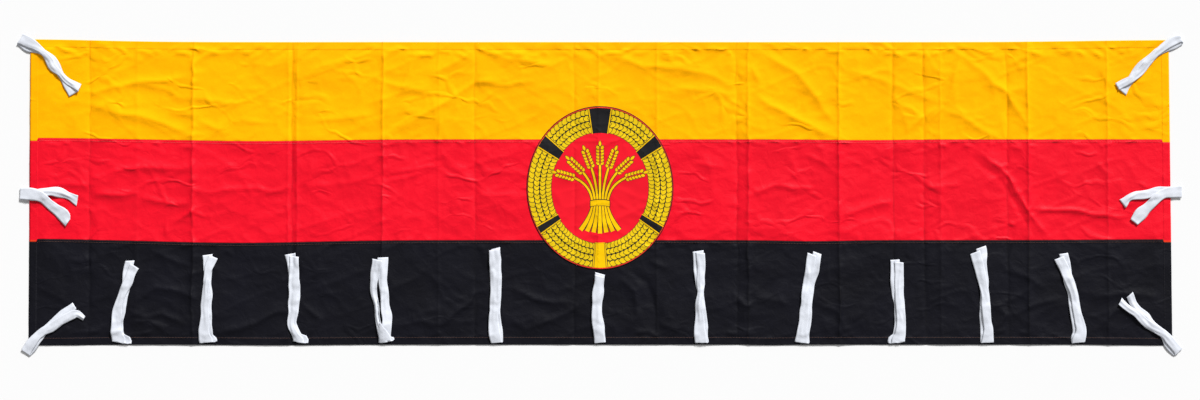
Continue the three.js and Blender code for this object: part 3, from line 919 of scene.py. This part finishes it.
def leaf(x, y, turn, length=LEAF_LENGTH, width=LEAF_WIDTH):
    """A pointed leaf whose middle is at a place, pointing along turn."""
    side = [(-0.28, 0.38), (0.02, 0.5), (0.3, 0.3)]
    shape = [(-0.5, 0), *[(a, -b) for a, b in side], (0.5, 0), *reversed(side)]
    cos, sin = math.cos(turn), math.sin(turn)
    return [
        (x + a * length * cos - b * width * sin, y + a * length * sin + b * width * cos) for a, b in shape
    ]


def strip(points, widths):
    """A band of changing width along a path."""
    left, right = [], []
    for k, (x, y) in enumerate(points):
        before = points[max(k - 1, 0)]
        after = points[min(k + 1, len(points) - 1)]
        turn = math.atan2(after[1] - before[1], after[0] - before[0])
        aside = widths[k] / 2
        left.append((x - aside * math.sin(turn), y + aside * math.cos(turn)))
        right.append((x + aside * math.sin(turn), y - aside * math.cos(turn)))
    return left + right[::-1]


def curve_points(start, bend, end, count=12):
    points = []
    for k in range(count + 1):
        t = k / count
        shares = ((1 - t) ** 2, 2 * t * (1 - t), t * t)
        corners = (start, bend, end)
        points.append(tuple(sum(s * c[i] for s, c in zip(shares, corners)) for i in (0, 1)))
    return points


def mirrored(shape):
    return [(-x, y) for x, y in reversed(shape)]


def outlined_strip(points, widths, material):
    """A band with a dark line down both its sides."""
    inner = [max(width - 2 * LINE, 0.4) for width in widths]
    return [(strip(points, widths), PRINT_DARK), (strip(points, inner), material)]


def outlined_leaf(x, y, turn, length, width, material, line=LEAF_OUTLINE):
    """A leaf with a dark line around it."""
    inner = leaf(x, y, turn, length - 2.4 * line, width - 1.8 * line)
    return [(leaf(x, y, turn, length, width), PRINT_DARK), (inner, material)]


def both_sides(shapes):
    """Shapes of the right half, and their mirror images."""
    return shapes + [(mirrored(shape), material) for shape, material in shapes]


def garland():
    """A leaf garland around the oval, its two branches starting at the foot and meeting on top."""
    shapes = [(oval(*RING_OUTER), PRINT_DARK), (oval(*RING_INNER), PRINT_RED)]
    angle = math.radians(BRANCH_START)
    row = 0
    branch = []
    while angle < math.radians(BRANCH_END):
        ahead = ring_place(angle + 0.01, 0.5)
        here = ring_place(angle, 0.5)
        run = math.dist(here, ahead) / 0.01
        turn = math.atan2(ahead[1] - here[1], ahead[0] - here[0])
        for column, share in enumerate(LEAF_SHARES):
            lag = LEAF_PITCH / run * (0.5 if column in (0, 3) else 0.0)
            x, y = ring_place(angle - lag, share)
            slant = (0.5 - share) * 1.2
            length = LEAF_LENGTH * (0.95 + 0.08 * math.sin(row * 2.4 + 5 * share))
            branch += outlined_leaf(x, y, turn + slant, length, LEAF_WIDTH, PRINT_LEAF)
        angle += LEAF_PITCH / run
        row += 1
    return shapes + both_sides(branch)


# Bands round the garland: middle and half width in degrees, and paint.
WRAPS = [(-90, 5.5, PRINT_GOLD), (-32, 3, PRINT_BLACK), (36, 5, PRINT_BLACK), (90, 9, PRINT_BLACK)]


def wraps():
    """Plain bands around the garland, each with a thin gold edge."""
    shapes = []
    for middle, half, material in WRAPS:
        for grow, paint in ((1.0, PRINT_DARK), (0.55, PRINT_GOLD), (-0.35, PRINT_DARK), (-0.8, material)):
            span = math.radians(half + grow)
            centre = math.radians(middle)
            sector = ring_sector(centre - span, centre + span, -0.03, 1.0, 16)
            shapes.append((sector, paint))
            if abs(middle) != 90:
                shapes.append((mirrored(sector), paint))
    return shapes


SHEAF_BIND = -42


def ear(x, y, turn, pairs=6, grain=15.5):
    """An ear of grain that grows from a place along turn."""
    shapes = []
    ahead_x, ahead_y = math.cos(turn), math.sin(turn)
    for k in range(pairs):
        for side in (1, -1):
            middle = 8.2 * k + 3
            aside = side * 6
            grain_x = x + ahead_x * middle - ahead_y * aside
            grain_y = y + ahead_y * middle + ahead_x * aside
            slant = turn + side * 0.45
            shapes += outlined_leaf(grain_x, grain_y, slant, grain, 11, PRINT_GOLD)
    tip = 8.2 * pairs + 5
    shapes += outlined_leaf(x + ahead_x * tip, y + ahead_y * tip, turn, grain + 4, 10, PRINT_GOLD)
    return shapes


def sheaf():
    """A bound sheaf of wheat."""
    shapes = []
    for lean in (-3, 3, -2, 2, -1, 1, 0):
        bind = (lean * 6.5, SHEAF_BIND)
        foot = (lean * 17, -120 + 3 * abs(lean))
        top = (lean * 23, 62 - 8 * abs(lean) ** 1.35)
        straw = curve_points(foot, (lean * 7, -72), bind)
        shapes += outlined_strip(straw, [15 - 0.5 * k for k in range(13)], PRINT_GOLD)
        stem = curve_points(bind, (lean * 7.5, 8), top)
        shapes += outlined_strip(stem, [9] * 13, PRINT_GOLD)
        turn = math.atan2(stem[-1][1] - stem[-2][1], stem[-1][0] - stem[-2][0])
        shapes += ear(*top, turn - lean * 0.05)
    band = [(-27, SHEAF_BIND + 9), (-13, SHEAF_BIND + 12), (13, SHEAF_BIND + 12), (27, SHEAF_BIND + 9)]
    band += [(27, SHEAF_BIND - 9), (13, SHEAF_BIND - 6), (-13, SHEAF_BIND - 6), (-27, SHEAF_BIND - 9)]
    shapes.append((band, PRINT_DARK))
    inner = [(x * 0.93, SHEAF_BIND + 1.5 + (y - SHEAF_BIND - 1.5) * 0.8) for x, y in band]
    shapes.append((inner, PRINT_GOLD))
    return shapes


def medallion_shapes():
    shapes = [
        (oval(MEDALLION_HALF_WIDTH, MEDALLION_HALF_HEIGHT), PRINT_DARK),
        (oval(MEDALLION_HALF_WIDTH - 2.2, MEDALLION_HALF_HEIGHT - 2.2), PRINT_RED),
    ]
    return shapes + garland() + wraps() + sheaf()


def inside_oval(x, y, inset):
    return (x / (MEDALLION_HALF_WIDTH - inset)) ** 2 + (y / (MEDALLION_HALF_HEIGHT - inset)) ** 2 < 1


def counter_clockwise(shape):
    doubled = sum(a[0] * b[1] - b[0] * a[1] for a, b in zip(shape, shape[1:] + shape[:1]))
    return shape if doubled > 0 else shape[::-1]


def points_on_relief():
    """Places on the patch beside the creases and seam steps below it, which it follows closely."""
    places = []
    half_rows = int(MEDALLION_HALF_HEIGHT / CREASE_STEP)
    for at, _, _, _ in STORAGE_CREASES:
        for k in range(-2, 3):
            places += [(at + CREASE_STEP * k, CREASE_STEP * row) for row in range(-half_rows, half_rows)]
    half_columns = int(MEDALLION_HALF_WIDTH / COLUMN_STEP)
    for seam in (GOLD_SEAM, RED_SEAM):
        for step in (seam, seam - FELL):
            for beside in (-0.9, 0.9):
                y = step + beside - MEDALLION_CENTRE_Y
                places += [(COLUMN_STEP * column, y) for column in range(-half_columns, half_columns)]
    return [(x, y) for x, y in places if inside_oval(x, y, RIM_CLEAR)]


def make_medallion():
    """The printed patch: one sheet whose faces follow the print's shapes."""
    shapes = [(counter_clockwise(shape), material) for shape, material in medallion_shapes()]
    flat_points = []
    outlines = []
    for shape, _ in shapes:
        outlines.append(list(range(len(flat_points), len(flat_points) + len(shape))))
        flat_points += shape
    for i in range(-36, 37):
        for j in range(-40, 41):
            x, y = i * PATCH_STEP, (j + 0.5 * (i % 2)) * PATCH_STEP
            if inside_oval(x, y, RIM_CLEAR):
                flat_points.append((x, y))
    flat_points += points_on_relief()
    points, _, faces, _, _, sources = delaunay_2d_cdt(flat_points, [], outlines, 0, 0.02)
    palette = [PRINT_DARK, PRINT_RED, PRINT_GOLD, PRINT_LEAF, PRINT_BLACK]
    kept, kind = [], []
    for face, source in zip(faces, sources):
        if source and 0 in source:
            kept.append(tuple(face))
            kind.append(palette.index(shapes[max(source)][1]))
    flat = np.array([tuple(point) for point in points])
    x, y = flat[:, 0], flat[:, 1] + MEDALLION_CENTRE_Y
    from_rim = 1 - np.hypot(flat[:, 0] / MEDALLION_HALF_WIDTH, flat[:, 1] / MEDALLION_HALF_HEIGHT)
    around = np.arctan2(flat[:, 1], flat[:, 0])
    gathered = 0.35 * np.sin(around * 43) * np.exp(-from_rim / 0.05)
    under = face_height(x, y) + PATCH_GAP + np.abs(gathered)
    count = len(flat)
    edges = dict.fromkeys(edge for face in kept for edge in zip(face, face[1:] + face[:1]))
    rim = [(a, a + count, b + count, b) for a, b in edges if (b, a) not in edges]
    below = [tuple(v + count for v in reversed(face)) for face in kept]
    upper = np.stack([x, y, under + PATCH_CLOTH], 1)
    lower = np.stack([x, y, under], 1)
    faces = kept + below + rim
    kinds = kind + kind + [0] * len(rim)
    return add_mesh("medallion_patch", np.concatenate([upper, lower]), faces, palette, kinds)


medallion = make_medallion()
rim = np.array(oval(MEDALLION_HALF_WIDTH - 4, MEDALLION_HALF_HEIGHT - 4)) + (0, MEDALLION_CENTRE_Y)
rim = [*rim, rim[0]]
rim_stitches = stitch_row("stitches_medallion", rim, GOLD_THREAD, pitch=3.2, length=2.2, lift=1.25)


# ---------------------------------------------------------------- tie tapes

# Each route runs from the fold, through what both legs share, to each leg's free end: first the
# under leg's, then the upper leg's. A place is x, y and the width at which the tape lies there.
# The last value is how far apart the legs lie sideways.
TIES = [
    (
        "tie_hem_01",
        [(-1264, -391, 34), (-1264, -383, 33), (-1270, -360, 28), (-1266, -316, 24), (-1255, -272, 19)],
        [(-1247, -228, 25), (-1240, -176, 24)],
        [(-1238, -233, 26), (-1219, -192, 27)],
        7,
    ),
    (
        "tie_hem_02",
        [
            (-1034, -391, 34), (-1035, -382, 33), (-1037, -368, 27),
            (-1036, -330, 25), (-1034, -286, 22), (-1033, -238, 15),
        ],
        [(-1034, -200, 24), (-1035, -161, 26)],
        [(-1025, -199, 22), (-1014, -167, 24)],
        7,
    ),
    (
        "tie_hem_03",
        [
            (-792, -390, 29), (-792, -384, 28), (-799, -370, 18),
            (-810, -342, 17), (-805, -308, 20), (-804, -267, 24),
        ],
        [(-810, -215, 26), (-817, -159, 26)],
        [(-801, -215, 26), (-799, -165, 24)],
        7,
    ),
    (
        "tie_hem_04",
        [(-564, -390, 33), (-567, -374, 30)],
        [(-562, -333, 24), (-566, -281, 23), (-571, -228, 24), (-573, -168, 26)],
        [(-581, -338, 15), (-588, -288, 14), (-594, -240, 20), (-583, -174, 26)],
        2,
    ),
    (
        "tie_hem_05",
        [(-271, -391, 30), (-274, -360, 27), (-276, -300, 24)],
        [(-276, -215, 25), (-279, -144, 25)],
        [(-272, -215, 25), (-274, -147, 26)],
        7,
    ),
    (
        "tie_hem_06",
        [(0, -391, 28), (-5, -341, 26), (-8, -296, 24)],
        [(-5, -249, 25), (-1, -210, 25)],
        [(-3, -249, 25), (1, -216, 26)],
        3,
    ),
    (
        "tie_hem_07",
        [(267, -391, 32), (266, -331, 24), (264, -286, 17)],
        [(261, -240, 22), (256, -190, 26), (255, -151, 27)],
        [(268, -240, 18), (270, -196, 22), (268, -155, 26)],
        7,
    ),
    (
        "tie_hem_08",
        [(531, -391, 34), (537, -341, 26), (543, -286, 23), (549, -244, 24)],
        [(559, -200, 26), (568, -155, 26)],
        [(555, -203, 24), (561, -160, 26)],
        7,
    ),
    (
        "tie_hem_09",
        [(783, -391, 33), (783, -383, 32), (787, -368, 26), (788, -328, 22), (784, -273, 23)],
        [(780, -215, 25), (780, -174, 25)],
        [(783, -215, 24), (782, -180, 24)],
        -7,
    ),
    (
        "tie_hem_10",
        [(1018, -391, 34), (1017, -352, 25), (1012, -296, 22)],
        [(1013, -262, 20), (1011, -228, 24), (1006, -141, 26)],
        [(1008, -262, 22), (1000, -223, 24), (983, -155, 26)],
        -7,
    ),
    (
        "tie_hem_11",
        [
            (1257, -391, 33), (1257, -383, 32), (1261, -366, 26),
            (1259, -344, 25), (1250, -308, 22), (1242, -262, 19),
        ],
        [(1233, -218, 25), (1221, -157, 25)],
        [(1225, -221, 24), (1204, -170, 26)],
        -7,
    ),
    (
        "tie_top_left",
        [
            (-1524, 405, 28), (-1504, 394, 30), (-1484, 383, 22),
            (-1464, 370, 15), (-1447, 354, 19), (-1434, 334, 20),
        ],
        [(-1423, 312, 17), (-1405, 288, 21), (-1383, 262, 27)],
        [(-1414, 319, 15), (-1395, 299, 18), (-1368, 277, 21)],
        12,
    ),
    (
        "tie_top_right",
        [
            (1528, 406, 22), (1510, 398, 25), (1474, 377, 20),
            (1455, 363, 17), (1438, 348, 17), (1418, 325, 18),
        ],
        [(1397, 294, 20), (1374, 266, 25)],
        [(1388, 300, 18), (1360, 280, 22)],
        -12,
    ),
    (
        "tie_mid_left",
        [(-1524, 0, 30), (-1504, -1, 31), (-1484, -4, 29)],
        [(-1461, 3, 24), (-1440, 5, 24), (-1418, 1, 24), (-1396, -7, 17), (-1374, -18, 27)],
        [(-1468, -10, 26), (-1453, -22, 26), (-1432, -38, 25), (-1411, -58, 31), (-1398, -76, 20)],
        0,
    ),
    (
        "tie_mid_right",
        [(1529, 5, 30), (1510, 5, 30), (1490, 3, 28)],
        [(1468, 4, 26), (1447, 1, 25), (1421, -4, 25), (1392, -12, 17), (1373, -26, 28)],
        [(1470, -8, 26), (1442, -34, 25), (1422, -54, 31), (1405, -76, 21)],
        0,
    ),
    (
        "tie_bottom_left",
        [
            (-1509, -418, 26), (-1494, -396, 27), (-1480, -379, 22),
            (-1462, -362, 20), (-1442, -349, 22), (-1420, -330, 20),
        ],
        [(-1403, -315, 24), (-1382, -294, 18)],
        [(-1394, -318, 22), (-1374, -314, 20), (-1356, -328, 13)],
        9,
    ),
    (
        "tie_bottom_right",
        [
            (1520, -417, 28), (1500, -392, 27), (1482, -370, 22),
            (1457, -350, 19), (1434, -332, 21), (1413, -311, 19),
        ],
        [(1400, -290, 20), (1392, -266, 22)],
        [(1393, -300, 18), (1368, -282, 20)],
        -12,
    ),
]

STATION_STEP = 4
SECTION = np.linspace(-1, 1, 9)
UNDER_LIFT = 1.3
UPPER_LIFT = 2.9
LAYER_SPACE = 1.2
LAYER_REACH = 6.5
END_SLANT = 6

# How far the under leg stands out sideways at the fold: right is less than nothing.
HEELS = {"tie_hem_01": -15, "tie_hem_02": -7, "tie_hem_03": -9, "tie_hem_04": -7, "tie_hem_09": 8}
HEEL_REACH = 11


def smooth_path(points):
    """Even stations along a smooth curve through the points; each row is x, y, width."""
    control = np.array(points, float)
    padded = np.vstack([2 * control[0] - control[1], control, 2 * control[-1] - control[-2]])
    dense = []
    for k in range(1, len(padded) - 2):
        a, b, c, d = padded[k - 1 : k + 3]
        t = np.linspace(0, 1, 24, endpoint=False)[:, None]
        bend = (2 * a - 5 * b + 4 * c - d) * t ** 2
        twist = (3 * b - a - 3 * c + d) * t ** 3
        dense.append(0.5 * (2 * b + (c - a) * t + bend + twist))
    dense = np.vstack([*dense, control[-1:]])
    runs = np.concatenate([[0], np.cumsum(np.hypot(*np.diff(dense[:, :2], axis=0).T))])
    count = max(8, round(runs[-1] / STATION_STEP))
    places = np.linspace(0, runs[-1], count + 1)
    return np.stack([np.interp(places, runs, dense[:, k]) for k in range(3)], 1), places


def tape_leg(points, shift, crossings, seed, lift, heel=0):
    """One leg's surface: stations by section places, with tilt, cup and a soft lengthwise fold."""
    path, places = smooth_path(points)
    ahead = np.gradient(path[:, :2], axis=0)
    ahead /= np.hypot(*ahead.T)[:, None]
    side = np.stack([-ahead[:, 1], ahead[:, 0]], 1)
    away = np.minimum(places / 40, 1)
    shift = shift * np.cos(math.pi * crossings * places / places[-1])
    aside = shift * (0.45 + 0.55 * away) + heel * np.exp(-((places / HEEL_REACH) ** 4))
    centre = path[:, :2] + side * aside[:, None]
    tilt = (0.22 * noise_along(places, 45, seed) * away)[:, None]
    cup = 1.8 * noise_along(places, 35, seed + 1)[:, None]
    fold_at = 0.8 * noise_along(places, 55, seed + 2)[:, None]
    fold = 2.4 * np.abs(noise_along(places, 38, seed + 3))[:, None]
    narrowed = np.clip(1 - path[:, 2] / TAPE_WIDTH, 0, 1)[:, None]
    u = SECTION[None, :]
    half = path[:, 2][:, None] / 2
    uneven = 1 + 0.16 * noise_along(places, 27, seed + 4)
    centre = centre + side * (2.2 * noise_along(places, 34, seed + 5) * away)[:, None]
    slanted_cut = END_SLANT * noise_along(np.zeros(1), 9, seed + 6)
    cut = smooth_step(places[-1] - 14, places[-1], places) * slanted_cut
    xy = centre[:, None, :] + side[:, None, :] * (u * half * uneven[:, None])[..., None]
    xy = xy + ahead[:, None, :] * (u * cut[:, None])[..., None]
    rise = np.abs(tilt) * (1 + u * np.sign(tilt)) * half
    rise += cup * np.where(cup > 0, u ** 2, u ** 2 - 1)
    rise += fold * np.exp(-(((u - fold_at) / 0.22) ** 2))
    rise += 7 * narrowed * np.exp(-(((u - 0.5 * fold_at) / 0.45) ** 2))
    ground = face_height(xy[..., 0], xy[..., 1])
    return np.concatenate([xy, (ground + lift + rise)[..., None]], 2)


def keep_above(upper, under):
    """Lift the upper leg off the under leg wherever they lie over each other."""
    flat_under = under.reshape(-1, 3)
    flat_upper = upper.reshape(-1, 3)
    for point in flat_upper:
        apart = np.hypot(flat_under[:, 0] - point[0], flat_under[:, 1] - point[1])
        near = apart < LAYER_REACH
        if near.any():
            point[2] = max(point[2], flat_under[near, 2].max() + LAYER_SPACE)
    return flat_upper.reshape(upper.shape)


def outside_floor(surface):
    """Past the flag's edge the tape hangs down towards the floor, and never through it."""
    past = -inside_by(surface[..., 0], surface[..., 1])
    surface[..., 2] -= 1.2 * smooth_step(2, 22, past)
    return surface


def make_tie(index, node, shared, under_leg, upper_leg, shift):
    """A doubled tape: under leg, fold and upper leg in one closed strip."""
    seed = 1000 + 20 * index
    crossings = 0 if "hem" in node or "mid" in node else 1.5
    heel = HEELS.get(node, 0)
    under = tape_leg([*shared, *under_leg], -shift / 2, crossings, seed, UNDER_LIFT, heel)
    upper = tape_leg([*shared, *upper_leg], shift / 2, crossings, seed + 7, UPPER_LIFT)
    upper = keep_above(upper, under)
    under, upper = outside_floor(under), outside_floor(upper)
    back = np.array([shared[0][0] - shared[1][0], shared[0][1] - shared[1][1], 0], float)
    back /= np.linalg.norm(back)
    radius = (upper[0, :, 2] - under[0, :, 2]) / 2
    middle = (upper[0] + under[0]) / 2
    turn = []
    for part in (0.2, 0.4, 0.6, 0.8):
        angle = math.pi * part
        line = middle + back * (radius * 1.6 * math.sin(angle))[:, None]
        line[:, 2] = middle[:, 2] - radius * math.cos(angle)
        turn.append(line)
    surface = np.concatenate([under[::-1], np.array(turn), upper])
    ahead = np.gradient(surface, axis=0)
    across = np.gradient(surface, axis=1)
    normal = np.cross(ahead, across)
    normal /= np.linalg.norm(normal, axis=2)[..., None]
    columns, rows = surface.shape[:2]
    skin = np.concatenate([surface + normal * TAPE / 2, surface - normal * TAPE / 2]).reshape(-1, 3)
    faces = grid_faces(columns, rows)
    return add_mesh(f"tape_{node}", skin, faces.tolist(), [TAPE_CLOTH])


def cut_length(shared, under_leg, upper_leg):
    """A tape's length before it was doubled, to the nearest 10 mm."""
    total = 0
    for leg in (under_leg, upper_leg):
        route = [*shared, *leg]
        total += sum(math.dist(a[:2], b[:2]) for a, b in zip(route, route[1:]))
    return 10 * round(total / 10)


ties = [(make_tie(index, *tie), tie[0], cut_length(*tie[1:4])) for index, tie in enumerate(TIES)]


# ---------------------------------------------------------------- pieces attached to the body, with their CAD parts hidden

# Each stripe's slot and node, and how wide it was cut, with its hems and seam allowances turned out.
STRIPE_FACTS = [
    (gold_stripe, "gold_cloth", "panel_gold", TOP_EDGE - GOLD_SEAM + HEM + FELL),
    (red_stripe, "red_cloth", "panel_red", GOLD_SEAM - RED_SEAM + 2 * FELL),
    (black_stripe, "black_cloth", "panel_black", RED_SEAM - BOTTOM_EDGE + HEM + FELL),
]

for stripe, slot, node, cut in STRIPE_FACTS:
    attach(stripe, "root")
    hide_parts(node)
    for row in stitch_rows[stripe]:
        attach(row, "root")

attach(medallion, "root")
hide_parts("medallion")
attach(rim_stitches, "root")

for tape, node, length in ties:
    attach(tape, "root")
    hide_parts(node)


# ---------------------------------------------------------------- floor, light and camera

VIEW_WIDTH = 3158
VIEW_CENTRE_Y = -17
LENS = 85
SENSOR = 36
FLOOR_HALF = 60
FLOOR_WHITE = 0.775
FILL_STRENGTH = 0.29
KEY_STRENGTH = 4.5
KEY_SOFTNESS = 12
# The key light comes from above in the picture and a little from the right.
KEY_FROM_ABOVE = 58
KEY_TURN = -116

floor_mesh = bpy.data.meshes.new("floor")
corners = [(x * FLOOR_HALF, y * FLOOR_HALF, 0) for x, y in ((-1, -1), (1, -1), (1, 1), (-1, 1))]
floor_mesh.from_pydata(corners, [], [(0, 1, 2, 3)])
floor = add_object("floor", floor_mesh)
floor_paint = bpy.data.materials.new("floor_paint")
floor_paint.use_nodes = True
floor_shader = floor_paint.node_tree.nodes["Principled BSDF"]
floor_shader.inputs["Base Color"].default_value = (FLOOR_WHITE, FLOOR_WHITE, FLOOR_WHITE, 1)
floor_shader.inputs["Roughness"].default_value = 0.9
floor_shader.inputs["Specular IOR Level"].default_value = 0.1
floor_mesh.materials.append(floor_paint)

world = bpy.data.worlds.new("studio")
world.use_nodes = True
sky = world.node_tree.nodes["Background"]
sky.inputs["Color"].default_value = (1, 1, 1, 1)
sky.inputs["Strength"].default_value = FILL_STRENGTH * LIGHT_LEVEL
bpy.context.scene.world = world
bpy.context.scene.view_settings.view_transform = "Standard"

key = bpy.data.lights.new("key", "SUN")
key.energy = KEY_STRENGTH * LIGHT_LEVEL
key.angle = math.radians(KEY_SOFTNESS)
key_light = add_object("key", key)
key_light.rotation_euler = (0, math.radians(-KEY_FROM_ABOVE), math.radians(KEY_TURN))

lens = bpy.data.cameras.new("camera")
lens.lens = LENS
lens.sensor_width = SENSOR
lens.clip_end = 200
camera = add_object("camera", lens)
view_x, view_y, _ = to_frame([0, VIEW_CENTRE_Y, 0])
camera.location = (view_x, view_y, VIEW_WIDTH * MM * LENS / SENSOR)
bpy.context.scene.camera = camera
